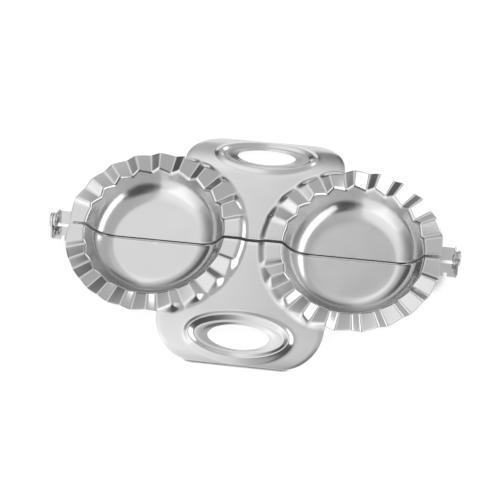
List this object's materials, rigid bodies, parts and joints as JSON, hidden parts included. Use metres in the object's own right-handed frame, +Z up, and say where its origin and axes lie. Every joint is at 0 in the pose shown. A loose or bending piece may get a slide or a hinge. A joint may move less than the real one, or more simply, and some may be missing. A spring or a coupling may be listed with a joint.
{
  "type": "ravioli press",
  "caption": "Hinged ravioli press of pressed stainless sheet: round dishes with ruffled rims fold shut to seal filled dough, and each half has a finger tab with an oval hole.",
  "frame": {"origin": "middle of the press on the table, under the hinge line", "axes": "+X along the hinge line, +Y from the front half to the rear half, +Z up"},
  "size_m": [0.2144, 0.1332, 0.0167],
  "materials": {
    "sheet": "bright satin stainless sheet",
    "lugs": "satin stainless strip",
    "rivets": "bright stainless",
    "washers": "bright stainless"
  },
  "bodies": {
    "rear_half": {"rear_plate": "sheet", "rear_lug_left": "lugs", "rear_lug_right": "lugs"},
    "front_half": {"front_plate": "sheet", "front_lug_left": "lugs", "front_lug_right": "lugs", "rivet_left": "rivets", "rivet_right": "rivets", "washer_left": "washers", "washer_right": "washers"}
  },
  "joints": [
    {"name": "fold", "type": "hinge", "parent": "rear_half", "child": "front_half", "pos_m": [0, 0, 0.0127], "axis": [-1, 0, 0], "range_deg": [0, 180]}
  ]
}
